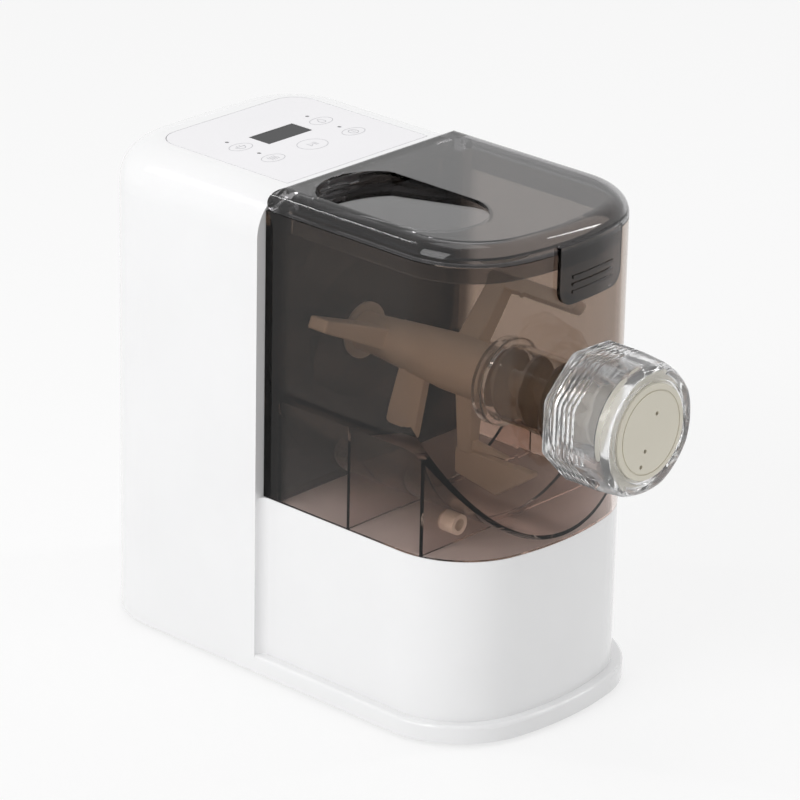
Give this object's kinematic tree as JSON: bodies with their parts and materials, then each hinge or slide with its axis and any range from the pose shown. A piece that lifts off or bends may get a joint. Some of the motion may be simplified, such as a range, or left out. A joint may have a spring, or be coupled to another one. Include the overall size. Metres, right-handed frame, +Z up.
{
  "type": "electric pasta maker",
  "caption": "Countertop electric pasta maker: white tower with touch panel, smoked mixing chamber and lid, mixing paddle, extruder with clear octagonal nut and die.",
  "frame": {"origin": "on the standing surface, under the middle of the whole machine", "axes": "+Z up, -Y towards the nozzle at the front, +X to the right of someone standing behind it"},
  "size_m": [0.1632, 0.3416, 0.2825],
  "materials": {
    "white": "glossy moulded",
    "white_panel": "satin inlay",
    "black_window": "glossy",
    "dark_plastic": "satin",
    "rubber": "matte",
    "seal": "matte",
    "smoked": "clear smoked",
    "clear": "clear",
    "cream": "satin",
    "steel": "turned",
    "screw_steel": "plated",
    "gear_plastic": "moulded",
    "board": "solder mask",
    "copper": "plated",
    "aluminium": "milled",
    "magnet": "sintered",
    "lamp": "frosted"
  },
  "bodies": {
    "base": {"housing": "white", "bottom_cover": "white", "foot_front_left": "rubber", "foot_front_right": "rubber", "foot_rear_left": "rubber", "foot_rear_right": "rubber", "bottom_screws": "screw_steel", "control_panel": "white_panel", "display_window": "black_window", "display_module": "dark_plastic", "status_lamps": "lamp", "control_board": "board", "board_screws": "screw_steel", "power_board": "board", "transformer_and_relay": "dark_plastic", "capacitors": "dark_plastic", "heat_sink": "aluminium", "drive_disc": "dark_plastic", "gear_case": "gear_plastic", "gear_case_cover": "gear_plastic", "gear_case_screws": "screw_steel", "front_bearing": "copper", "rear_bearing": "copper", "motor_can": "steel", "motor_magnets": "magnet", "motor_end_cap": "dark_plastic", "motor_saddle": "gear_plastic", "power_inlet": "dark_plastic", "inlet_pins": "copper"},
    "drive": {"drive_gear": "steel", "drive_shaft": "steel"},
    "layshaft": {"intermediate_gear": "gear_plastic", "intermediate_shaft": "steel"},
    "rotor_set": {"motor_pinion": "copper", "rotor_shaft": "steel", "rotor": "copper", "cooling_fan": "dark_plastic"},
    "chamber": {"mixing_chamber": "smoked", "chamber_seal": "seal", "locating_peg": "cream", "extrusion_barrel": "clear"},
    "mixer": {"mixing_paddle": "cream", "extrusion_screw": "cream"},
    "die": {"pasta_die": "cream"},
    "nut": {"nozzle_nut": "clear"},
    "lid_assembly": {"lid": "smoked"}
  },
  "joints": [
    {"name": "drive_spin", "type": "hinge", "parent": "base", "child": "drive", "pos_m": [0, 0.036, 0.1835], "axis": [0, 1, 0], "continuous": true},
    {"name": "layshaft_spin", "type": "hinge", "parent": "base", "child": "layshaft", "pos_m": [0, 0.036, 0.1291], "axis": [0, 1, 0], "continuous": true},
    {"name": "motor_spin", "type": "hinge", "parent": "base", "child": "rotor_set", "pos_m": [0, 0.036, 0.0943], "axis": [0, 1, 0], "continuous": true},
    {"name": "chamber_slide", "type": "slide", "parent": "base", "child": "chamber", "axis": [0, -1, 0], "range_m": [0, 0.036]},
    {"name": "mixer_spin", "type": "hinge", "parent": "chamber", "child": "mixer", "pos_m": [0, 0.036, 0.1835], "axis": [0, 1, 0], "continuous": true},
    {"name": "die_travel", "type": "slide", "parent": "chamber", "child": "die", "axis": [0, -1, 0], "range_m": [0, 0.0121]},
    {"name": "nut_turn", "type": "hinge", "parent": "die", "child": "nut", "pos_m": [0, -0.144, 0.1835], "axis": [0, -1, 0], "range_deg": [0, 540]},
    {"name": "lid_hinge", "type": "hinge", "parent": "chamber", "child": "lid_assembly", "pos_m": [0, 0.03, 0.277], "axis": [-1, 0, 0], "range_deg": [0, 80]}
  ],
  "couplings": [
    {"joint": "layshaft_spin", "follows": "drive_spin", "ratio": -4.6667},
    {"joint": "motor_spin", "follows": "drive_spin", "ratio": 22.4},
    {"joint": "mixer_spin", "follows": "drive_spin", "ratio": 1},
    {"joint": "die_travel", "follows": "nut_turn", "m_per_rad": 0.0012732}
  ]
}
